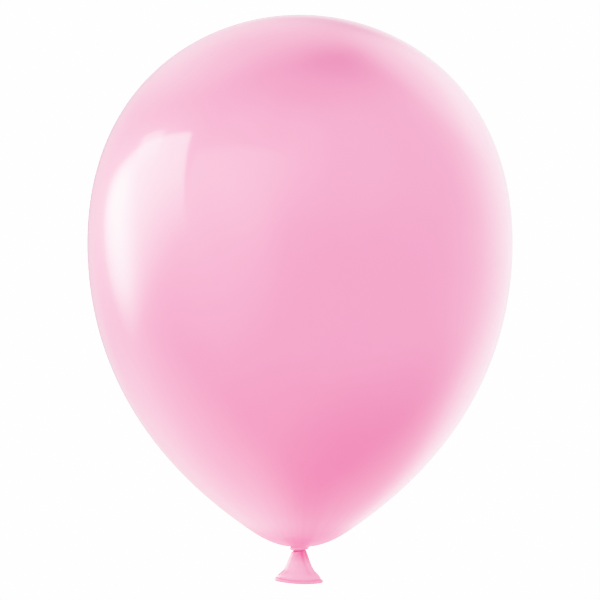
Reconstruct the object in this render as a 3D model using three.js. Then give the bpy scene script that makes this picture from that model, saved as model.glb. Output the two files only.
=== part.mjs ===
// A tied round latex balloon: one dipped film blown up to a teardrop, its neck pulled into a strand,
// knotted over itself, and left hanging below the knot as a flared tail with a rolled lip.
// Millimetres, +Z up. The origin is the centre of the knot, on the balloon's axis. -Y is the front.
import * as THREE from "three";

// ---- Driving dimensions, in millimetres ----
const BODY_RADIUS = 140; // blown up to 280 across
const BODY_TOP = 351; // crown, over the knot's centre
const WIDEST_HEIGHT = 201; // of the widest circle, over the knot's centre
const CROWN_HANDLE = 66; // how far the crown runs flat before it turns down
const SHOULDER_HANDLE = 103; // how far the side runs upright over the widest circle
const FLANK_HANDLE = 92; // and below it
const FILM_WALL = 0.4; // stand-in for a film of about 0.02

const TAPER_RADIUS = 33; // where the taper ends and the bottom starts to round off
const TAPER_HEIGHT = 12;
const TAPER_ANGLE = 34; // of the film there, in degrees from level
const TAPER_HANDLE = 66;
const BOTTOM_HANDLE = 6;
const SEAT_MARGIN = 3.1; // from the knot out to the ring of film that bulges down around it
const SEAT_HEIGHT = 1.45;
const SEAT_ANGLE = 11;
const SEAT_HANDLE = 11;

const STRAND_RADIUS = 2.9; // the neck where it is pulled thin
const STRAND_TOP = 3.2; // top of the length that runs through the knot
const THROAT_HEIGHT = 3.8; // pinched neck inside the body, top to bottom
const THROAT_ROUNDING = 1.4; // of its upper edge
const COLLAR_RISE = 1.2; // of the film's lower edge over the top of the knot
const COLLAR_OVERHANG = 0.6; // how far past the knot the film runs out before it turns down
const COLLAR_ANGLE = -10;
const WRAP_RADIUS = 1.55; // the turn of the knot, half its thickness
const WRAP_PITCH = 3.6; // how far the turn climbs in going once round
const GAP = 0.3; // left between pieces that touch
const RUNNING_GAP = 0.35; // left around a piece that turns

const BEND_DROP = 0.65; // of the tail's hinge under the lowest part of the knot
const BALL_INSET = 0.3; // the tail's rounded top is this much slimmer than the strand
const TAIL_WALL = 0.5;
const TAIL_SHOULDER_RADIUS = 5; // half the tail's width just under its hinge
const TAIL_SHOULDER_DROP = 0.8;
const TAIL_PRESSED_LENGTH = 5; // under the hinge, where the folds lie pressed together
const SKIRT_TOP_HANDLE = 4.5; // how far the skirt keeps the slope that it leaves the shoulder at
const SKIRT_TOP_ANGLE = -49;
const SKIRT_MOUTH_HANDLE = 8.3; // and the slope that it meets the mouth at
const SKIRT_MOUTH_ANGLE = 133;
const MOUTH_HALF_WIDTH = 15.9; // outside the rolled lip
const MOUTH_HALF_DEPTH = 7.7;
const LIP_RADIUS = 1.3; // half the thickness of the roll
const LIP_HEIGHT = -21.7; // centre of the roll at the middle of the mouth
const LIP_BOW = 1.2; // how far the mouth's two ends stand over its middle
const LIP_SKEW = 2.9; // turn of the mouth about Y, in degrees, right end down

// ---- Worked out from them ----
const COLLAR_RADIUS = STRAND_RADIUS + RUNNING_GAP;
const WRAP_CENTRE_RADIUS = COLLAR_RADIUS + WRAP_RADIUS;
const WRAP_OUTER_RADIUS = WRAP_CENTRE_RADIUS + WRAP_RADIUS;
const WRAP_HALF_HEIGHT = WRAP_PITCH / 2 + WRAP_RADIUS; // over its ends, at the back
const COLLAR_HEIGHT = WRAP_HALF_HEIGHT + GAP + COLLAR_RISE;
const SEAT_RADIUS = WRAP_OUTER_RADIUS + SEAT_MARGIN;
const BEND_HEIGHT = -WRAP_HALF_HEIGHT - BEND_DROP;
const BEND_BALL_RADIUS = STRAND_RADIUS - BALL_INSET;
const STRAND_BOTTOM = BEND_HEIGHT + BEND_BALL_RADIUS + GAP;
const TAIL_SHOULDER_HEIGHT = BEND_HEIGHT - TAIL_SHOULDER_DROP;
const TAIL_HOLLOW_TOP = BEND_HEIGHT - TAIL_PRESSED_LENGTH;
const LIP_CENTRE_HALF_WIDTH = MOUTH_HALF_WIDTH - LIP_RADIUS;
const LIP_CENTRE_HALF_DEPTH = MOUTH_HALF_DEPTH - LIP_RADIUS;
const SKIRT_BOTTOM = LIP_HEIGHT + LIP_RADIUS + GAP;

// ---- Fineness ----
const BODY_SIDES = 48;
const KNOT_SIDES = 24;
const WRAP_STEPS = 40;
const TAIL_SIDES = 40;
const ENVELOPE_STEPS = [12, 11, 4, 6]; // along each curve of its outline
const SKIRT_STEPS = 9;
const LIP_SIDES = 10;
const ARC_STEPS = 5; // along each quarter round

// ---- Latex, by how thick it lies ----
function latex(colour, roughness) {
  return new THREE.MeshStandardMaterial({ color: colour, roughness: roughness, metalness: 0 });
}
const stretchedLatex = latex(0xf5a9cd, 0.18);
const gatheredLatex = latex(0xf277b4, 0.35);
const lipLatex = latex(0xf79fc6, 0.3);

function named(name, geometry, material) {
  const mesh = new THREE.Mesh(geometry, material);
  mesh.name = name;
  return mesh;
}

// A turned solid about Z. The profile is radius against height, from its lower end to its upper end.
function turned(profile, sides) {
  return new THREE.LatheGeometry(profile, sides).rotateX(Math.PI / 2);
}

// A quarter of a circle round a centre, from level with it on the outside up to right over it.
function quarterRound(centreRadius, centreHeight, rounding) {
  const points = [];
  for (let step = 0; step <= ARC_STEPS; step += 1) {
    const angle = ((Math.PI / 2) * step) / ARC_STEPS;
    points.push(
      new THREE.Vector2(
        centreRadius + rounding * Math.cos(angle),
        centreHeight + rounding * Math.sin(angle),
      ),
    );
  }
  return points;
}

// A point this far from another, at an angle in degrees from level.
function stepFrom(point, length, degrees) {
  const angle = THREE.MathUtils.degToRad(degrees);
  return new THREE.Vector2(
    point.x + length * Math.cos(angle),
    point.y + length * Math.sin(angle),
  );
}

// ---- The envelope: crown, flanks, rounded bottom, and the dimple that the knot sits in ----
function envelopeCurves() {
  const crown = new THREE.Vector2(0, BODY_TOP);
  const widest = new THREE.Vector2(BODY_RADIUS, WIDEST_HEIGHT);
  const taper = new THREE.Vector2(TAPER_RADIUS, TAPER_HEIGHT);
  const seat = new THREE.Vector2(SEAT_RADIUS, SEAT_HEIGHT);
  const collar = new THREE.Vector2(COLLAR_RADIUS, COLLAR_HEIGHT);
  return [
    new THREE.CubicBezierCurve(
      crown,
      stepFrom(crown, CROWN_HANDLE, 0),
      stepFrom(widest, SHOULDER_HANDLE, 90),
      widest,
    ),
    new THREE.CubicBezierCurve(
      widest,
      stepFrom(widest, FLANK_HANDLE, -90),
      stepFrom(taper, TAPER_HANDLE, TAPER_ANGLE),
      taper,
    ),
    new THREE.CubicBezierCurve(
      taper,
      stepFrom(taper, -BOTTOM_HANDLE, TAPER_ANGLE),
      stepFrom(seat, SEAT_HANDLE, SEAT_ANGLE),
      seat,
    ),
    new THREE.CubicBezierCurve(
      seat,
      stepFrom(seat, -SEAT_MARGIN, SEAT_ANGLE),
      stepFrom(collar, 2 * WRAP_RADIUS + COLLAR_OVERHANG, COLLAR_ANGLE),
      collar,
    ),
  ];
}

// The film's outside, and its inside one wall further in, as one line from the crown round the
// collar and back to the crown.
function envelope() {
  const outside = [];
  const inside = [];
  envelopeCurves().forEach((curve, index) => {
    const steps = ENVELOPE_STEPS[index];
    for (let step = index === 0 ? 0 : 1; step <= steps; step += 1) {
      const point = curve.getPoint(step / steps);
      const along = curve.getTangent(step / steps);
      outside.push(point);
      inside.push(
        new THREE.Vector2(
          Math.max(0, point.x + along.y * FILM_WALL),
          point.y - along.x * FILM_WALL,
        ),
      );
    }
  });
  inside[0].x = 0;
  outside.reverse();
  return turned([...inside, ...outside], BODY_SIDES);
}

// ---- The throat: the neck's film, gathered and pinched inside the collar ----
function neckThroat() {
  const bottom = STRAND_TOP + GAP;
  const top = bottom + THROAT_HEIGHT;
  const rounding = quarterRound(STRAND_RADIUS - THROAT_ROUNDING, top - THROAT_ROUNDING, THROAT_ROUNDING);
  const profile = [
    new THREE.Vector2(0, bottom),
    new THREE.Vector2(STRAND_RADIUS, bottom),
    ...rounding,
    new THREE.Vector2(0, top),
  ];
  return turned(profile, KNOT_SIDES);
}

// ---- The strand: the same neck where it runs through the knot ----
function neckStrand() {
  const profile = [
    new THREE.Vector2(0, STRAND_BOTTOM),
    new THREE.Vector2(STRAND_RADIUS, STRAND_BOTTOM),
    new THREE.Vector2(STRAND_RADIUS, STRAND_TOP),
    new THREE.Vector2(0, STRAND_TOP),
  ];
  return turned(profile, KNOT_SIDES);
}

// ---- The knot: one turn of the neck around the strand, climbing from the left to the right ----
class KnotTurn extends THREE.Curve {
  getPoint(t) {
    const angle = Math.PI / 2 + 2 * Math.PI * t;
    return new THREE.Vector3(
      WRAP_CENTRE_RADIUS * Math.cos(angle),
      WRAP_CENTRE_RADIUS * Math.sin(angle),
      WRAP_PITCH * (t - 0.5),
    );
  }
}

function knotWrap() {
  const section = new THREE.Shape();
  section.absarc(0, 0, WRAP_RADIUS, 0, 2 * Math.PI);
  return new THREE.ExtrudeGeometry(section, {
    extrudePath: new KnotTurn(),
    steps: WRAP_STEPS,
    curveSegments: 6,
    bevelEnabled: false,
  });
}

// ---- The tail: an oval funnel whose flattening, bow and skew all grow towards the mouth ----
function skirtSide() {
  const shoulder = new THREE.Vector2(TAIL_SHOULDER_RADIUS, TAIL_SHOULDER_HEIGHT);
  const mouth = new THREE.Vector2(LIP_CENTRE_HALF_WIDTH, SKIRT_BOTTOM);
  return new THREE.CubicBezierCurve(
    shoulder,
    stepFrom(shoulder, SKIRT_TOP_HANDLE, SKIRT_TOP_ANGLE),
    stepFrom(mouth, SKIRT_MOUTH_HANDLE, SKIRT_MOUTH_ANGLE),
    mouth,
  );
}

// How far down the tail a height is: 0 at the shoulder and above, 1 at the skirt's lower edge.
function wayDown(height) {
  const way = (TAIL_SHOULDER_HEIGHT - height) / (TAIL_SHOULDER_HEIGHT - SKIRT_BOTTOM);
  return THREE.MathUtils.clamp(way, 0, 1);
}

// How much less deep than wide the tail is at a height, on each side of its axis.
function flattening(height) {
  const shoulder = TAIL_SHOULDER_RADIUS - BEND_BALL_RADIUS;
  const mouth = LIP_CENTRE_HALF_WIDTH - LIP_CENTRE_HALF_DEPTH;
  if (height > TAIL_SHOULDER_HEIGHT) {
    return THREE.MathUtils.mapLinear(
      Math.min(height, BEND_HEIGHT),
      BEND_HEIGHT,
      TAIL_SHOULDER_HEIGHT,
      0,
      shoulder,
    );
  }
  return shoulder + (mouth - shoulder) * wayDown(height);
}

// How far the mouth's bow and skew lift a point.
function lift(x, height) {
  const way = wayDown(height);
  const bow = LIP_BOW * (x / LIP_CENTRE_HALF_WIDTH) ** 2;
  const skew = -x * Math.tan(THREE.MathUtils.degToRad(LIP_SKEW));
  return (bow + skew) * way * way;
}

// Moves each vertex of a round solid to its place on the oval, bowed tail.
function shapedAsTail(geometry, placeOf) {
  const position = geometry.attributes.position;
  for (let index = 0; index < position.count; index += 1) {
    const x = position.getX(index);
    const y = position.getY(index);
    const z = position.getZ(index);
    const place = placeOf(Math.hypot(x, y), Math.atan2(y, x), z);
    position.setXYZ(index, place.x, place.y, place.z);
  }
  return geometry;
}

function tailSkirt() {
  const outside = skirtSide().getPoints(SKIRT_STEPS);
  const inside = outside
    .filter((point) => point.y < TAIL_HOLLOW_TOP)
    .map((point) => new THREE.Vector2(point.x - TAIL_WALL, point.y));
  outside.reverse();
  const profile = [
    new THREE.Vector2(0, TAIL_HOLLOW_TOP),
    ...inside,
    ...outside,
    ...quarterRound(0, BEND_HEIGHT, BEND_BALL_RADIUS),
  ];
  return shapedAsTail(turned(profile, TAIL_SIDES), (radius, angle, z) => {
    const x = radius * Math.cos(angle);
    const depth = Math.max(0, radius - flattening(z));
    return new THREE.Vector3(x, depth * Math.sin(angle), z + lift(x, z));
  });
}

function rolledLip() {
  const ring = new THREE.TorusGeometry(LIP_CENTRE_HALF_WIDTH, LIP_RADIUS, LIP_SIDES, TAIL_SIDES);
  return shapedAsTail(ring, (radius, angle, z) => {
    const outward = radius - LIP_CENTRE_HALF_WIDTH;
    const normal = new THREE.Vector2(
      Math.cos(angle) / LIP_CENTRE_HALF_WIDTH,
      Math.sin(angle) / LIP_CENTRE_HALF_DEPTH,
    ).normalize();
    const x = LIP_CENTRE_HALF_WIDTH * Math.cos(angle) + outward * normal.x;
    const y = LIP_CENTRE_HALF_DEPTH * Math.sin(angle) + outward * normal.y;
    return new THREE.Vector3(x, y, LIP_HEIGHT + z + lift(x, LIP_HEIGHT));
  });
}

// ---- Assembly: the tail hangs on the strand, and the strand turns in the knot ----
const tail = new THREE.Group();
tail.add(named("tail_skirt", tailSkirt(), gatheredLatex));
tail.add(named("rolled_lip", rolledLip(), lipLatex));

const strand = new THREE.Group();
strand.add(named("neck_strand", neckStrand(), gatheredLatex));
strand.add(tail);

const balloon = new THREE.Group();
balloon.name = "latex_balloon";
balloon.add(named("envelope", envelope(), stretchedLatex));
balloon.add(named("neck_throat", neckThroat(), gatheredLatex));
balloon.add(named("knot_wrap", knotWrap(), gatheredLatex));
balloon.add(strand);

export default balloon;
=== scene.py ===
import math
import random

import bpy
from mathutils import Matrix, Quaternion, Vector
from mathutils.geometry import interpolate_bezier


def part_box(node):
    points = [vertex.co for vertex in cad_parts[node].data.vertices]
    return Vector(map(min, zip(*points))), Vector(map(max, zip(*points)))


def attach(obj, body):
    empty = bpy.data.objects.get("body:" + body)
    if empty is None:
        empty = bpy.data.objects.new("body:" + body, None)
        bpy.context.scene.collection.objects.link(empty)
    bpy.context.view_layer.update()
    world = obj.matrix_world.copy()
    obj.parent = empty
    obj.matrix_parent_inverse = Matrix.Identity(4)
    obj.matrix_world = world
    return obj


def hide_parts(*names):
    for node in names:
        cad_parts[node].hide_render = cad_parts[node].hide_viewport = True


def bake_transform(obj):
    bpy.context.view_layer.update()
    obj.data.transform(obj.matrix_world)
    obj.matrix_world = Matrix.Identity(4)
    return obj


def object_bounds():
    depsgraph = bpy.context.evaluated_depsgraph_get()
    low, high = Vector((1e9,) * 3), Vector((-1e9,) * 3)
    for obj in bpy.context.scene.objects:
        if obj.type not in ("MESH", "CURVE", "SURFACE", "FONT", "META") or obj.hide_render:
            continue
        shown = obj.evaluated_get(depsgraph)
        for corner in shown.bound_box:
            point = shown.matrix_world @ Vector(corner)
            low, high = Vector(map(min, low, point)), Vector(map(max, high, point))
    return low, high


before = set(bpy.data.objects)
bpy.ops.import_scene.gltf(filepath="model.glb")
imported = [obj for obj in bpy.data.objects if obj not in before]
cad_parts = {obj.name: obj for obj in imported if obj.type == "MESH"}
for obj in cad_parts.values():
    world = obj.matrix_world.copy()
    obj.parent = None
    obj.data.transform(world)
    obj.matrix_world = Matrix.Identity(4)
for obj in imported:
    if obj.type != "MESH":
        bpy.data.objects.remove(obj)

cad_low, cad_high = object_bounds()

# ---- The camera ----
# The camera stands level with the middle of the balloon, 2.4 metres off.
# Its long lens keeps the body's outline as it is drawn.
VIEW_DISTANCE = 2.4
VIEW_HEIGHT = 0.1634
VIEW_SPAN = 0.3947  # height of the frame where the balloon hangs

bpy.ops.object.camera_add(
    location=(0, -VIEW_DISTANCE, VIEW_HEIGHT),
    rotation=(math.pi / 2, 0, 0),
)
camera = bpy.context.object
camera.name = "camera"
camera.data.lens = camera.data.sensor_width * VIEW_DISTANCE / VIEW_SPAN
camera.data.clip_end = 100
bpy.context.scene.camera = camera

# ---- The body ----
# The body is the balloon's film of latex, dipped on a former as a small pear and blown up to a teardrop.
# It is stretched to a few hundredths of a millimetre, so it is glossy and slightly see-through, and it
# bulges down a little round the knot, in fine gathers.
BODY_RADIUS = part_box("envelope")[1].x
CROWN = Vector((0, 0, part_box("envelope")[1].z))
WIDEST = Vector((BODY_RADIUS, 0, 0.201))
TAPER_END = Vector((0.033, 0, 0.012))
SEAT = Vector((0.0095, 0, 0.00145))
COLLAR = Vector((0.00325, 0, 0.00485))
CROWN_HANDLE = 0.066
SHOULDER_HANDLE = 0.103
FLANK_HANDLE = 0.092
TAPER_HANDLES = 0.066, 0.006  # above and below the end of the taper
SEAT_HANDLES = 0.011, 0.0031  # outside and inside the seat
COLLAR_HANDLE = 0.0037
SHOULDER_ROWS = 56
FLANK_ROWS = 48
BOTTOM_ROWS = 20
DIMPLE_ROWS = 16
TAPER_SLOPE = Vector((math.cos(math.radians(34)), 0, math.sin(math.radians(34))))
SEAT_SLOPE = Vector((math.cos(math.radians(11)), 0, math.sin(math.radians(11))))
COLLAR_SLOPE = Vector((math.cos(math.radians(-10)), 0, math.sin(math.radians(-10))))
FILM_WALL = 0.0004
BODY_SIDES = 144
GATHERS = 18
LOOSE_GATHERS = 11
GATHER_DEPTH = 0.0008
GATHER_REACH = 0.017  # out from the axis
GATHER_TOP = 0.02
DOUBLES = 0.000002  # vertices closer than this are one
THIN_FILM = (0.90, 0.325, 0.55, 1)
THICK_FILM_AND_SHADE = (0.90, 0.22, 0.45, 1)


def deselected():
    if bpy.context.object and bpy.context.object.mode != "OBJECT":
        bpy.ops.object.mode_set(mode="OBJECT")
    bpy.ops.object.select_all(action="DESELECT")


def drawn(name, points):
    """A piece that so far is one line through these points, open for editing."""
    deselected()
    bpy.ops.mesh.primitive_plane_add(size=0.001, location=points[0])
    bpy.ops.object.transform_apply(location=True, rotation=True, scale=True)
    piece = bpy.context.object
    piece.name = name
    piece.data.name = name
    bpy.ops.object.mode_set(mode="EDIT")
    bpy.ops.mesh.select_all(action="SELECT")
    bpy.ops.mesh.merge(type="CENTER")
    for here, there in zip(points, points[1:]):
        bpy.ops.mesh.extrude_vertices_move(TRANSFORM_OT_translate={"value": there - here})
    return piece


def turned(sides):
    """Spins the open line into a body about the balloon's axis."""
    bpy.ops.mesh.select_all(action="SELECT")
    bpy.ops.mesh.spin(steps=sides, angle=2 * math.pi, center=(0, 0, 0), axis=(0, 0, 1))
    bpy.ops.mesh.select_all(action="SELECT")
    bpy.ops.mesh.remove_doubles(threshold=DOUBLES)
    bpy.ops.mesh.normals_make_consistent(inside=False)
    bpy.ops.object.mode_set(mode="OBJECT")


def given(piece, kind, **settings):
    """Adds a modifier with these settings and applies it."""
    modifier = piece.modifiers.new(kind.lower(), kind)
    for setting, value in settings.items():
        setattr(modifier, setting, value)
    bpy.ops.object.modifier_apply(modifier=modifier.name)


def pushed(piece, way, amount, share):
    """Pushes each vertex one way by its share of the amount."""
    group = piece.vertex_groups.new(name="share")
    for vertex in piece.data.vertices:
        group.add([vertex.index], share(vertex.co), "REPLACE")
    given(piece, "DISPLACE", direction=way, strength=amount, mid_level=0, vertex_group=group.name)
    piece.vertex_groups.remove(piece.vertex_groups["share"])


def gather(place):
    """How far the film near the knot is drawn up into a gather, from 0 to 1."""
    out = math.hypot(place.x, place.y)
    if place.z > GATHER_TOP or out > GATHER_REACH:
        return 0
    round_about = math.atan2(place.y, place.x)
    even = math.cos(GATHERS * round_about)
    uneven = math.cos(LOOSE_GATHERS * round_about + 1)
    return (0.5 + 0.3 * even + 0.2 * uneven) * (1 - out / GATHER_REACH) ** 2


shoulder = interpolate_bezier(
    CROWN,
    CROWN + Vector((CROWN_HANDLE, 0, 0)),
    WIDEST + Vector((0, 0, SHOULDER_HANDLE)),
    WIDEST,
    SHOULDER_ROWS,
)
flank = interpolate_bezier(
    WIDEST,
    WIDEST - Vector((0, 0, FLANK_HANDLE)),
    TAPER_END + TAPER_HANDLES[0] * TAPER_SLOPE,
    TAPER_END,
    FLANK_ROWS,
)
bottom = interpolate_bezier(
    TAPER_END,
    TAPER_END - TAPER_HANDLES[1] * TAPER_SLOPE,
    SEAT + SEAT_HANDLES[0] * SEAT_SLOPE,
    SEAT,
    BOTTOM_ROWS,
)
dimple = interpolate_bezier(
    SEAT,
    SEAT - SEAT_HANDLES[1] * SEAT_SLOPE,
    COLLAR + COLLAR_HANDLE * COLLAR_SLOPE,
    COLLAR,
    DIMPLE_ROWS,
)
outline = shoulder + flank[1:] + bottom[1:] + dimple[1:]
body = drawn("balloon_body", outline)
turned(BODY_SIDES)
pushed(body, "Z", GATHER_DEPTH, gather)
given(body, "SOLIDIFY", thickness=FILM_WALL, offset=-1)
bpy.ops.object.shade_smooth()


class Value:
    """What a shader node gives, so that sums on it read as they are written."""

    def __init__(self, finish, socket):
        self.finish = finish
        self.socket = socket

    def sum(self, operation, first, second):
        return self.finish.node(
            "ShaderNodeMath", {"operation": operation}, {0: first, 1: second}
        )

    def __add__(self, other):
        return self.sum("ADD", self, other)

    __radd__ = __add__

    def __sub__(self, other):
        return self.sum("SUBTRACT", self, other)

    def __rsub__(self, other):
        return self.sum("SUBTRACT", other, self)

    def __mul__(self, other):
        return self.sum("MULTIPLY", self, other)

    __rmul__ = __mul__


class Finish:
    """A material, put together node by node, or the surroundings put together the same way."""

    def __init__(self, name, surroundings=None):
        self.material = surroundings or bpy.data.materials.new(name)
        self.material.use_nodes = True
        self.tree = self.material.node_tree
        self.tree.nodes.clear()

    def node(self, kind, settings, inputs, output=0):
        made = self.tree.nodes.new(kind)
        for setting, value in settings.items():
            setattr(made, setting, value)
        for name, value in inputs.items():
            if isinstance(value, Value):
                self.tree.links.new(value.socket, made.inputs[name])
            else:
                made.inputs[name].default_value = value
        return Value(self, made.outputs[output]) if made.outputs else None

    def between(self, value, low, high):
        """0 below low, 1 above high, and smooth in between."""
        return self.node(
            "ShaderNodeMapRange",
            {"interpolation_type": "SMOOTHSTEP"},
            {"Value": value, "From Min": low, "From Max": high},
        )

    def mixed(self, share, first, second):
        """A colour part of the way from the first to the second."""
        return self.node(
            "ShaderNodeMix", {"data_type": "RGBA"}, {0: share, 6: first, 7: second}, 2
        )

    def laid_on(self, piece, surface):
        self.node("ShaderNodeOutputMaterial", {}, {"Surface": surface})
        piece.data.materials.clear()
        piece.data.materials.append(self.material)


film = Finish("stretched_latex")
place = film.node("ShaderNodeTexCoord", {}, {}, "Object")
height = film.node("ShaderNodeSeparateXYZ", {}, {"Vector": place}, "Z")
cloud = film.node(
    "ShaderNodeTexNoise", {}, {"Vector": place, "Scale": 16, "Detail": 4, "Roughness": 0.55}
)
bloom = film.node(
    "ShaderNodeTexNoise", {}, {"Vector": place, "Scale": 240, "Detail": 3, "Roughness": 0.6}
)
skin = film.node(
    "ShaderNodeTexNoise", {}, {"Vector": place, "Scale": 900, "Detail": 2, "Roughness": 0.5}
)
flat = film.node("ShaderNodeVectorMath", {"operation": "MULTIPLY"}, {0: place, 1: (1, 1, 0)}, "Vector")
outward = film.node("ShaderNodeVectorMath", {"operation": "NORMALIZE"}, {0: flat}, "Vector")
drawn_out = film.node(
    "ShaderNodeVectorMath", {"operation": "MULTIPLY_ADD"}, {0: outward, 1: (7, 7, 0), 2: place}, "Vector"
)
streak = film.node("ShaderNodeTexNoise", {}, {"Vector": drawn_out, "Scale": 2.5, "Detail": 3})
at_gathers = 1 - film.between(height, 0.002, 0.06)
# The film is deeper towards the neck: thicker film there, and also painted shade of the balloon's
# underside.
neck_depth_and_shade = 1 - film.between(height, 0.0, 0.15)
at_crown = film.between(height, 0.30, 0.3512)
thickness_and_shade = neck_depth_and_shade * 0.9 - at_gathers * 0.4 + at_crown * 0.35
thickness_and_shade = thickness_and_shade + (cloud - 0.5) * 0.35 + at_gathers * (streak - 0.5) * 0.8
colour = film.mixed(thickness_and_shade, THIN_FILM, THICK_FILM_AND_SHADE)
relief = film.node(
    "ShaderNodeBump",
    {},
    {"Strength": 0.06, "Distance": 0.0002, "Height": skin * 0.5 + bloom * 0.5},
)
latex = film.node(
    "ShaderNodeBsdfPrincipled",
    {},
    {
        "Base Color": colour,
        "Roughness": 0.42 + (bloom - 0.5) * 0.12,
        "Normal": relief,
        "Coat Weight": film.between(height, 0.005, 0.02),
        "Coat Roughness": 0.06,
        "Sheen Weight": 0.28,
        "Sheen Roughness": 0.3,
    },
)
film.laid_on(body, latex)
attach(body, "balloon")
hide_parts("envelope")

# ---- The throat ----
# Just above the knot the film is drawn together into a fluted stem that closes the body.
# It is the same film, so thickly gathered here that it keeps the deep colour of unstretched latex, and
# painted shade darkens its grooves.
THROAT_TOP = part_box("neck_throat")[1].z
THROAT_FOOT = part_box("neck_throat")[0].z
THROAT_RADIUS = 0.0028
THROAT_FLUTES = 9
THROAT_TWIST = 0.5
THROAT_SIZES = [  # share of the way up and share of the radius
    (0, 1),
    (0.3, 1.02),
    (0.6, 1.0),
    (0.8, 0.85),
    (0.93, 0.6),
    (1, 0.3),
]
FLUTE_DEPTH = 0.16  # share of the radius
GROOVE_RADIUS = 0.0021
RIDGE_HEIGHT = 0.0006
RIDGE_COLOUR = (0.93, 0.44, 0.63, 1)
DEEP_AND_SHADE_COLOUR = (0.85, 0.11, 0.37, 1)


def fluted_ring(name, flutes, depth, radius, place, upright=False):
    """A piece that so far is one ring of edges with grooves in it, open for editing."""
    deselected()
    bpy.ops.mesh.primitive_circle_add(
        vertices=4 * flutes,
        radius=radius,
        location=place,
        rotation=(math.pi / 2 if upright else 0, 0, 0),
    )
    bpy.ops.object.transform_apply(location=True, rotation=True, scale=True)
    piece = bpy.context.object
    piece.name = name
    piece.data.name = name
    for vertex in piece.data.vertices:
        vertex.select = vertex.index % 4 == 0
    for edge in piece.data.edges:
        edge.select = False
    bpy.ops.object.mode_set(mode="EDIT")
    share = 1 - depth
    bpy.ops.transform.resize(value=(share, share, share), center_override=place)
    bpy.ops.mesh.select_all(action="SELECT")
    return piece


def drawn_on(stations):
    """Draws the selected ring from station to station: a middle, a turn about the upright, a size."""
    for (here, turn, size), (there, next_turn, next_size) in zip(stations, stations[1:]):
        bpy.ops.mesh.extrude_region_move(TRANSFORM_OT_translate={"value": there - here})
        bpy.ops.transform.rotate(value=turn - next_turn, orient_axis="Z", center_override=there)
        share = next_size / size
        bpy.ops.transform.resize(value=(share, share, share), center_override=there)


def closed_up(ends):
    """Merges what has met, fills the ends if there are any, and turns the faces outward."""
    bpy.ops.mesh.select_all(action="SELECT")
    bpy.ops.mesh.remove_doubles(threshold=DOUBLES)
    if ends:
        bpy.ops.mesh.select_all(action="DESELECT")
        bpy.ops.mesh.select_non_manifold()
        bpy.ops.mesh.fill()
    bpy.ops.mesh.select_all(action="SELECT")
    bpy.ops.mesh.normals_make_consistent(inside=False)
    bpy.ops.object.mode_set(mode="OBJECT")


def shaded(piece, out_of_shade):
    """Notes at each vertex how near it is to a fold's ridge, and on the knot how near to the turn's upper
    side; the latex's colour is painted darker, as shade, where this is low.
    """
    notes = piece.data.attributes.new("out_of_shade", "FLOAT", "POINT")
    notes.data.foreach_set("value", [out_of_shade(vertex.co) for vertex in piece.data.vertices])


def flute(place):
    """1 on the ridges of a fluted stem and 0 in its grooves."""
    return min(1, max(0, (math.hypot(place.x, place.y) - GROOVE_RADIUS) / RIDGE_HEIGHT))


throat = fluted_ring(
    "drawn_throat", THROAT_FLUTES, FLUTE_DEPTH, THROAT_RADIUS, Vector((0, 0, THROAT_FOOT))
)
drawn_on(
    [
        (Vector((0, 0, THROAT_FOOT + share * (THROAT_TOP - THROAT_FOOT))), THROAT_TWIST * share, size)
        for share, size in THROAT_SIZES
    ]
)
closed_up(ends=True)
given(throat, "SUBSURF", levels=1, render_levels=1)
shaded(throat, flute)
bpy.ops.object.shade_smooth()

gathered = Finish("gathered_latex")
place = gathered.node("ShaderNodeTexCoord", {}, {}, "Object")
height = gathered.node("ShaderNodeSeparateXYZ", {}, {"Vector": place}, "Z")
out_of_shade = gathered.node("ShaderNodeAttribute", {"attribute_name": "out_of_shade"}, {}, "Fac")
mottle = gathered.node(
    "ShaderNodeTexNoise", {}, {"Vector": place, "Scale": 420, "Detail": 4, "Roughness": 0.6}
)
grain = gathered.node(
    "ShaderNodeTexNoise", {}, {"Vector": place, "Scale": 2600, "Detail": 2, "Roughness": 0.5}
)
# Just below the turn the latex is deeper, for the film bunched there and as painted shade under the turn;
# on the turn itself the deep colour mostly falls away.
in_turn = gathered.between(height, -0.0018, -0.0005)
knot_bunching_and_shade = gathered.between(height, -0.0115, -0.0018) * (1 - in_turn * 0.8)
# The grooves of the folds and the underside of the turn are painted darker, as shade.
deep_and_shade = knot_bunching_and_shade * 0.75 + (1 - out_of_shade) * 0.6 + (mottle - 0.5) * 0.3 - 0.15
colour = gathered.mixed(deep_and_shade, RIDGE_COLOUR, DEEP_AND_SHADE_COLOUR)
relief = gathered.node(
    "ShaderNodeBump",
    {},
    {"Strength": 0.15, "Distance": 0.0001, "Height": mottle * 0.7 + grain * 0.3},
)
latex = gathered.node(
    "ShaderNodeBsdfPrincipled",
    {},
    {
        "Base Color": colour,
        "Roughness": 0.38 + (mottle - 0.5) * 0.2,
        "Normal": relief,
        "Coat Weight": 0.7,
        "Coat Roughness": 0.22,
        "Sheen Weight": 0.15,
        "Sheen Roughness": 0.3,
    },
)
gathered.laid_on(throat, latex)
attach(throat, "balloon")
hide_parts("neck_throat")

# ---- The neck strand ----
# Through the knot the neck is a twisted strand of the same film, pulled thin where the turn grips it.
# Nothing fastens it: the turn's grip alone keeps the gas in, and its foot opens into the tail.
STRAND_TOP = 0.0032
STRAND_FOOT = -0.0026
STRAND_RADIUS = 0.00265
STRAND_FLUTES = 8
STRAND_TWIST = 0.9
STRAND_SIZES = [  # share of the way down and share of the radius
    (0, 1),
    (0.15, 0.98),
    (0.3, 0.93),
    (0.45, 0.92),
    (0.6, 0.95),
    (0.72, 0.97),
    (0.84, 0.84),
    (0.94, 0.64),
    (1, 0.4),
]

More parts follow.
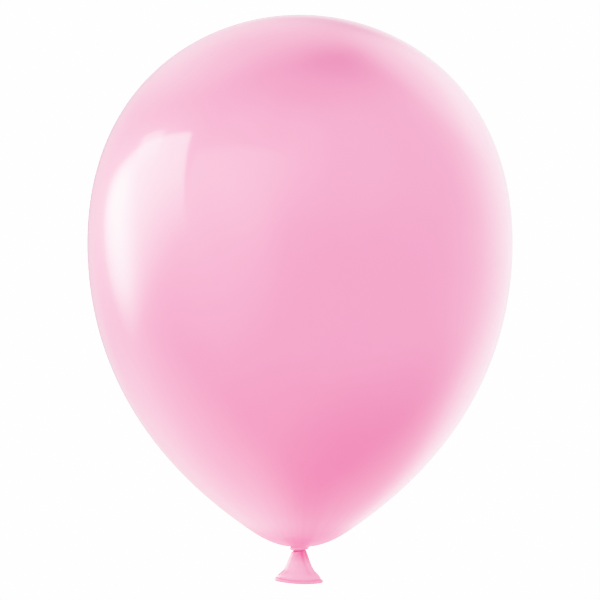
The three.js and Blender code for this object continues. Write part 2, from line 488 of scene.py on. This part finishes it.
strand = fluted_ring(
    "twisted_strand", STRAND_FLUTES, FLUTE_DEPTH, STRAND_RADIUS, Vector((0, 0, STRAND_TOP))
)
drawn_on(
    [
        (Vector((0, 0, STRAND_TOP + share * (STRAND_FOOT - STRAND_TOP))), STRAND_TWIST * share, size)
        for share, size in STRAND_SIZES
    ]
)
closed_up(ends=True)
given(strand, "SUBSURF", levels=1, render_levels=1)
shaded(strand, flute)
bpy.ops.object.shade_smooth()
gathered.laid_on(strand, latex)
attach(strand, "strand")
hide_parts("neck_strand")

# ---- The knot ----
# The knot is one turn of the balloon's own rolled-up neck, wound about the strand by hand.
# It lies nearly level in front, a little lower on the left, and its ends cross and tuck in behind.
KNOT_RADIUS = 0.0047
KNOT_THICKNESS = 0.0036
KNOT_PITCH = 0.0031
KNOT_LEAN = -0.0003  # the turn sits a little to one side of the axis
KNOT_RISE = 0.0007  # how far the turn is pushed up against the body
KNOT_LAP = 0.075  # share of a turn by which each end runs on under the other
KNOT_STEPS = 60
KNOT_SIDES = 7
KNOT_CREASE_DEPTH = 0.0004
KNOT_CREASE_WIND = 2.6  # how far a crease winds about the neck in one turn
KNOT_CREASES = [  # where it lies round the neck, half width and share of the depth
    (0.9, 0.2, 1.0),
    (-0.5, 0.16, 0.7),
    (2.3, 0.25, 0.8),
    (-2.2, 0.2, 0.8),
]
TUCK_SHARE = 0.13  # share of the turn over which each end tapers
TUCK_IN = 0.0012


def knot_middle(way):
    """The height of the middle of the turn, nearly level in front and steep where its ends cross behind."""
    half_way = 2 * way - 1
    return KNOT_RISE + KNOT_PITCH * (0.22 * half_way + 0.28 * half_way**3)


def knot_station(step):
    way = -KNOT_LAP + (1 + 2 * KNOT_LAP) * step / KNOT_STEPS
    turn = math.pi / 2 + 2 * math.pi * way
    to_end = min(step, KNOT_STEPS - step) / KNOT_STEPS
    tucked = max(0, 1 - to_end / TUCK_SHARE)
    out = KNOT_RADIUS - TUCK_IN * tucked**2
    rise = knot_middle(way)
    size = math.sqrt(max(0.0, 1 - tucked**2.6)) * 0.96 + 0.04
    return Vector((KNOT_LEAN + out * math.cos(turn), out * math.sin(turn), rise)), turn, size


def way_round(place):
    """The share of the turn at this place, from behind, round by the front."""
    return (math.atan2(place.y, place.x) - math.pi / 2) % (2 * math.pi) / (2 * math.pi)


def knot_out_of_shade(place):
    """1 on the upper side of the turn and 0 along its underside, where the latex's colour is painted darker
    as shade.
    """
    above = place.z - knot_middle(way_round(place))
    return min(1, max(0, 0.9 + 1.9 * above / KNOT_THICKNESS))


def knot_crease(place):
    """The creases of the rolled neck, which wind slowly round the turn and run out behind."""
    way = way_round(place)
    middle = knot_middle(way)
    side = math.atan2(place.z - middle, math.hypot(place.x, place.y) - KNOT_RADIUS)
    groove = 0
    for start, half_width, depth in KNOT_CREASES:
        apart = (side - start - KNOT_CREASE_WIND * (way - 0.5) + math.pi) % (2 * math.pi) - math.pi
        groove = max(groove, depth * math.exp(-((apart / half_width) ** 2)))
    return groove * min(1, max(0, (min(way, 1 - way) - 0.07) / 0.08))


stations = [knot_station(step) for step in range(KNOT_STEPS + 1)]
first_place, first_turn, first_size = stations[0]
knot = fluted_ring("knotted_turn", KNOT_SIDES, 0, KNOT_THICKNESS / 2, first_place, upright=True)
bpy.ops.transform.rotate(value=-first_turn, orient_axis="Z", center_override=first_place)
bpy.ops.transform.resize(value=(first_size, first_size, first_size), center_override=first_place)
drawn_on(stations)
closed_up(ends=True)
given(knot, "SUBSURF", levels=1, render_levels=1)
shaded(knot, knot_out_of_shade)
pushed(knot, "NORMAL", -KNOT_CREASE_DEPTH, knot_crease)
bpy.ops.object.shade_smooth()
gathered.laid_on(knot, latex)
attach(knot, "balloon")
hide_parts("knot_wrap")

# ---- The tail ----
# Below the knot the neck opens again into a short flattened skirt, the unstretched film of the dipping,
# thicker and softer than the body and creased by the knot into folds that fade towards the mouth.
TAIL_RINGS = [  # height, half width and half depth
    (-0.0003, 0.0024, 0.0024),
    (-0.0009, 0.0026, 0.0026),
    (-0.0014, 0.0043, 0.0031),
    (-0.0018, 0.0050, 0.0035),
    (-0.0025, 0.0053, 0.0037),
    (-0.0036, 0.0056, 0.0037),
    (-0.0050, 0.0062, 0.0037),
    (-0.0064, 0.0067, 0.0037),
    (-0.0077, 0.0073, 0.0037),
    (-0.0097, 0.0080, 0.0039),
    (-0.0116, 0.0088, 0.0042),
    (-0.0130, 0.0095, 0.0044),
    (-0.0142, 0.0102, 0.0047),
    (-0.0155, 0.0113, 0.0051),
    (-0.0168, 0.0126, 0.0056),
    (-0.0180, 0.0135, 0.0060),
    (-0.0190, 0.0142, 0.0062),
    (-0.0202, 0.0146, 0.0064),
    (-0.0212, 0.0146, 0.0064),
]
TAIL_LEAN = -0.0007  # the skirt hangs a little to one side of the knot
TAIL_SIDES = 96
TAIL_WALL = 0.0004
HINGE_HEIGHT = -0.004
HINGE_TO_MOUTH = 0.0161
CREASE_DEPTH = 0.0009
CREASE_LEAN = 0.47
CREASE_TOP = -0.0016
CREASE_RUN_IN = 0.001  # how far down a crease takes to reach its depth
SKIRT_TRAVEL = 0.004
SHOULDER_SLANT = 0.1
SHOULDER_REACH = 0.25
LIP_HALF_WIDTH = 0.0146
LIP_HALF_DEPTH = 0.0064
LIP_BOW = 0.0012
LIP_SKEW = math.tan(math.radians(2.9))


def down_tail(place):
    """0 at the tail's hinge and 1 near the mouth."""
    return min(1, max(0, (HINGE_HEIGHT - place.z) / HINGE_TO_MOUTH))


DEEPEST_CREASE = (-1.27, 0.19, 1.3, 1.0)  # where it starts round the knot, half width, reach and depth
FIRST_CREASE = -0.85
CREASE_SPACING = 0.36
CREASES = 13

random.seed(11)
creases = [DEEPEST_CREASE]
for number in range(CREASES):
    start = FIRST_CREASE + CREASE_SPACING * number + random.uniform(-0.1, 0.1)
    half_width = random.uniform(0.06, 0.12)
    reach = random.uniform(0.45, 1.1)
    creases.append((start, half_width, reach, random.uniform(0.4, 0.9)))


def fold(place):
    """1 on the ridges between the creases and 0 at the bottom of the deepest one."""
    along = down_tail(place)
    about = math.atan2(place.y / LIP_HALF_DEPTH, place.x / LIP_HALF_WIDTH) - CREASE_LEAN * along
    groove = 0
    for start, half_width, reach, depth in creases:
        apart = (about - start + math.pi) % (2 * math.pi) - math.pi
        fade = max(0, 1 - along / reach)
        groove = max(groove, depth * fade * math.exp(-((apart / half_width) ** 2)))
    return 1 - groove


def crease_share(place):
    """How deep the skirt is creased, which starts below its top edge."""
    return (1 - fold(place)) * min(1, max(0, (CREASE_TOP - place.z) / CREASE_RUN_IN))


def lip_share(place):
    """How far the skirt rises or falls towards the bowed and slanted mouth; a half is not at all."""
    lift = LIP_BOW * (place.x / LIP_HALF_WIDTH) ** 2 - LIP_SKEW * place.x
    at_top = SHOULDER_SLANT * place.x * max(0, 1 - down_tail(place) / SHOULDER_REACH)
    return 0.5 + (lift * down_tail(place) ** 2 + at_top) / SKIRT_TRAVEL


deselected()
bpy.ops.mesh.primitive_circle_add(
    vertices=TAIL_SIDES, radius=TAIL_RINGS[0][1], location=(0, 0, TAIL_RINGS[0][0])
)
bpy.ops.object.transform_apply(location=True, rotation=True, scale=True)
tail = bpy.context.object
tail.name = "tail_funnel"
tail.data.name = "tail_funnel"
bpy.ops.object.mode_set(mode="EDIT")
bpy.ops.mesh.select_all(action="SELECT")
for (here, width, depth), (there, next_width, next_depth) in zip(TAIL_RINGS, TAIL_RINGS[1:]):
    bpy.ops.mesh.extrude_region_move(TRANSFORM_OT_translate={"value": (0, 0, there - here)})
    bpy.ops.transform.resize(
        value=(next_width / width, next_depth / depth, 1), center_override=(0, 0, there)
    )
bpy.ops.mesh.select_all(action="SELECT")
bpy.ops.mesh.normals_make_consistent(inside=False)
bpy.ops.object.mode_set(mode="OBJECT")
given(tail, "SUBSURF", levels=2, render_levels=2)
# The skirt's creases are painted darker along their grooves, as shade.
shaded(tail, fold)
pushed(tail, "NORMAL", -CREASE_DEPTH, crease_share)
pushed(tail, "Z", SKIRT_TRAVEL, lip_share)
bpy.ops.object.mode_set(mode="EDIT")
bpy.ops.mesh.select_all(action="SELECT")
bpy.ops.transform.translate(value=(TAIL_LEAN, 0, -SKIRT_TRAVEL / 2))
bpy.ops.object.mode_set(mode="OBJECT")
given(tail, "SOLIDIFY", thickness=TAIL_WALL, offset=-1)
bpy.ops.object.shade_smooth()
gathered.laid_on(tail, latex)
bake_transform(tail)
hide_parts("tail_skirt")

# ---- The rolled lip ----
# The mouth ends in a bead, made by rolling the edge of the wet film back on itself before it is cured.
# It is drawn flat with the tail, bows up at both ends and hangs a little lower on the right.
LIP_THICKNESS = 0.0031
LIP_HEIGHT = -0.0220
LIP_STEPS = 96
LIP_SIDES = 7
ROLL_LINE_DEPTH = 0.00022
LIP_PALE = (0.94, 0.46, 0.64, 1)
LIP_DEEP = (0.88, 0.27, 0.50, 1)


def lip_station(step):
    round_about = 2 * math.pi * step / LIP_STEPS
    x = LIP_HALF_WIDTH * math.cos(round_about)
    y = LIP_HALF_DEPTH * math.sin(round_about)
    lift = LIP_BOW * (x / LIP_HALF_WIDTH) ** 2 - LIP_SKEW * x
    heading = math.atan2(y / LIP_HALF_DEPTH**2, x / LIP_HALF_WIDTH**2)
    heading += 2 * math.pi if heading < -0.000001 else 0
    heading = 2 * math.pi if step == LIP_STEPS else heading
    size = 1 + 0.26 * math.cos(round_about) ** 4 - 0.06 * math.cos(round_about) ** 3
    return Vector((x + TAIL_LEAN, y, LIP_HEIGHT + lift)), heading, size


def roll_line(place):
    """The line where the rolled film ends, high on the outside, and a fainter one on the inside."""
    x, y = place.x - TAIL_LEAN, place.y
    share = math.hypot(x / LIP_HALF_WIDTH, y / LIP_HALF_DEPTH)
    out = math.hypot(x, y) * (1 - 1 / share)
    lift = LIP_BOW * (x / LIP_HALF_WIDTH) ** 2 - LIP_SKEW * x
    side = math.atan2(place.z - LIP_HEIGHT - lift, out)
    return max(math.exp(-(((side - 0.75) / 0.2) ** 2)), 0.6 * math.exp(-(((side - 2.5) / 0.25) ** 2)))


stations = [lip_station(step) for step in range(LIP_STEPS + 1)]
lip = fluted_ring("rolled_bead", LIP_SIDES, 0, LIP_THICKNESS / 2, stations[0][0], upright=True)
drawn_on(stations)
closed_up(ends=False)
given(lip, "SUBSURF", levels=1, render_levels=1)
pushed(lip, "NORMAL", -ROLL_LINE_DEPTH, roll_line)
bpy.ops.object.shade_smooth()

rolled = Finish("lip_latex")
place = rolled.node("ShaderNodeTexCoord", {}, {}, "Object")
mottle = rolled.node(
    "ShaderNodeTexNoise", {}, {"Vector": place, "Scale": 380, "Detail": 4, "Roughness": 0.6}
)
grain = rolled.node(
    "ShaderNodeTexNoise", {}, {"Vector": place, "Scale": 2600, "Detail": 2, "Roughness": 0.5}
)
colour = rolled.mixed(0.35 + (mottle - 0.5) * 0.9, LIP_PALE, LIP_DEEP)
relief = rolled.node(
    "ShaderNodeBump",
    {},
    {"Strength": 0.15, "Distance": 0.0001, "Height": mottle * 0.7 + grain * 0.3},
)
latex = rolled.node(
    "ShaderNodeBsdfPrincipled",
    {},
    {
        "Base Color": colour,
        "Roughness": 0.36 + (mottle - 0.5) * 0.2,
        "Normal": relief,
        "Coat Weight": 0.45,
        "Coat Roughness": 0.18,
        "Sheen Weight": 0.15,
        "Sheen Roughness": 0.3,
    },
)
rolled.laid_on(lip, latex)
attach(lip, "tail")
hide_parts("rolled_lip")

# ---- The room ----
# A white room with a pale floor well under the balloon, soft boxes that only the gloss picks up,
# and one large light from the upper left that gives the body its roundness.
FLOOR_DROP = 0.5
FLOOR_RADIUS = 2.2
ROOM_LIGHT = 1.15
BACKDROP_LIGHT = 8.0
BALLOON_MIDDLE = Vector((0, 0, 0.18))
BOX_DISTANCE = 2.0

bpy.context.scene.world = bpy.data.worlds.new("white room")
room = Finish("white room", bpy.context.scene.world)
seen = room.node("ShaderNodeLightPath", {}, {}, "Is Camera Ray")
strength = room.node(
    "ShaderNodeMapRange", {}, {"Value": seen, "To Min": ROOM_LIGHT, "To Max": BACKDROP_LIGHT}
)
backdrop = room.node("ShaderNodeBackground", {}, {"Color": (1, 1, 1, 1), "Strength": strength})
room.node("ShaderNodeOutputWorld", {}, {"Surface": backdrop})
bpy.context.scene.view_settings.view_transform = "Khronos PBR Neutral"

deselected()
bpy.ops.mesh.primitive_circle_add(
    vertices=96, radius=FLOOR_RADIUS, fill_type="NGON", location=(0, 0, cad_low.z - FLOOR_DROP)
)
floor = bpy.context.object
floor.name = "floor"
floor.visible_glossy = False
paint = Finish("white floor")
paint.laid_on(
    floor,
    paint.node(
        "ShaderNodeBsdfPrincipled",
        {},
        {
            "Base Color": (0.85, 0.85, 0.85, 1),
            "Roughness": 0.9,
            "Emission Color": (1, 1, 1, 1),
            "Emission Strength": 0.3,
        },
    ),
)


def soft_box(name, azimuth, elevation, width, height, lean, strength, fades):
    """A glowing card that only reflections see; its light fades in from each edge over these shares."""
    across, up = math.radians(azimuth), math.radians(elevation)
    middle = BALLOON_MIDDLE + BOX_DISTANCE * Vector(
        (math.sin(across) * math.cos(up), -math.cos(across) * math.cos(up), math.sin(up))
    )
    deselected()
    bpy.ops.mesh.primitive_plane_add(size=1, location=middle)
    card = bpy.context.object
    card.name = name
    card.scale = (width, height, 1)
    card.rotation_mode = "QUATERNION"
    facing = (BALLOON_MIDDLE - middle).to_track_quat("Z", "Y")
    card.rotation_quaternion = facing @ Quaternion((0, 0, 1), math.radians(lean))
    card.visible_camera = False
    card.visible_diffuse = False
    card.visible_shadow = False
    glow = Finish(name)
    place = glow.node("ShaderNodeTexCoord", {}, {}, "Object")
    x = glow.node("ShaderNodeSeparateXYZ", {}, {"Vector": place}, "X")
    y = glow.node("ShaderNodeSeparateXYZ", {}, {"Vector": place}, "Y")
    left, right, foot, head = fades
    light = glow.between(0.5 - x, 0, left) * glow.between(0.5 + x, 0, right)
    light = light * glow.between(y + 0.5, 0, foot) * glow.between(0.5 - y, 0, head)
    lit = glow.node("ShaderNodeEmission", {}, {"Color": (1, 1, 1, 1), "Strength": light * strength})
    clear = glow.node("ShaderNodeBsdfTransparent", {}, {})
    glow.laid_on(card, glow.node("ShaderNodeAddShader", {}, {0: lit, 1: clear}))


soft_box("window_left", -92, 9, 2.2, 1.8, -28, 20, (0.5, 0.06, 0.75, 0.07))
soft_box("window_corner", -101, 26, 0.75, 0.55, -28, 12, (0.3, 0.3, 0.7, 0.12))
soft_box("window_core", -109, 1, 1.25, 1.6, -30, 62, (0.6, 0.6, 0.85, 0.25))
soft_box("window_front", -32, 10, 2.4, 2.4, 0, 3, (0.05, 0.4, 0.9, 0.1))

# The rest of what the gloss sees is a dome of soft pools of light: azimuth, elevation, spread, strength.
POOLS = [
    (-125, -50, 42, 2.5),
    (-150, -45, 40, 0.5),
    (120, 0, 40, 0.9),
    (145, 0, 40, 1.1),
    (130, 35, 40, 1.0),
    (137, 39, 26, 2.3),
    (-45, 0, 40, 2.2),
    (-20, 35, 40, 2.0),
    (20, 35, 40, 1.2),
    (-60, 35, 40, 0.9),
    (60, 35, 40, 0.8),
    (-90, 65, 40, 0.4),
    (-153, 56, 35, 2.4),
    (150, -43, 40, 1.6),
    (180, -70, 40, 0.6),
    (105, -65, 48, -1.75),
    (30, 85, 35, -0.7),
    (170, 62, 45, -1.7),
    (-166, 4, 20, -0.9),
    (172, 2, 24, -0.5),
]
DOME_RADIUS = 3.0
DOME_AMBIENT = 1.5

deselected()
bpy.ops.mesh.primitive_uv_sphere_add(
    segments=48, ring_count=24, radius=DOME_RADIUS, location=BALLOON_MIDDLE
)
dome = bpy.context.object
dome.name = "glow_dome"
dome.visible_camera = False
dome.visible_diffuse = False
dome.visible_shadow = False
glow = Finish("glow dome")
place = glow.node("ShaderNodeTexCoord", {}, {}, "Object")
outward = glow.node("ShaderNodeVectorMath", {"operation": "NORMALIZE"}, {0: place}, "Vector")
light = DOME_AMBIENT
for azimuth, elevation, spread, strength in POOLS:
    across, up = math.radians(azimuth), math.radians(elevation)
    middle = (math.sin(across) * math.cos(up), -math.cos(across) * math.cos(up), math.sin(up))
    nearness = glow.node(
        "ShaderNodeVectorMath", {"operation": "DOT_PRODUCT"}, {0: outward, 1: middle}, "Value"
    )
    light = light + glow.between(nearness, math.cos(math.radians(spread)), 1) * strength
glow.laid_on(
    dome, glow.node("ShaderNodeEmission", {}, {"Color": (1, 1, 1, 1), "Strength": light})
)

LAMP_PLACE = Vector((-1.6, -1.6, 1.8))
LAMP_SIZE = 2.0
LAMP_POWER = 6

bpy.ops.object.light_add(type="AREA", location=LAMP_PLACE)
lamp = bpy.context.object
lamp.name = "large_soft_light"
lamp.rotation_mode = "QUATERNION"
lamp.rotation_quaternion = (LAMP_PLACE - BALLOON_MIDDLE).to_track_quat("Z", "Y")
lamp.data.size = LAMP_SIZE
lamp.data.energy = LAMP_POWER
lamp.visible_glossy = False
lamp.visible_camera = False
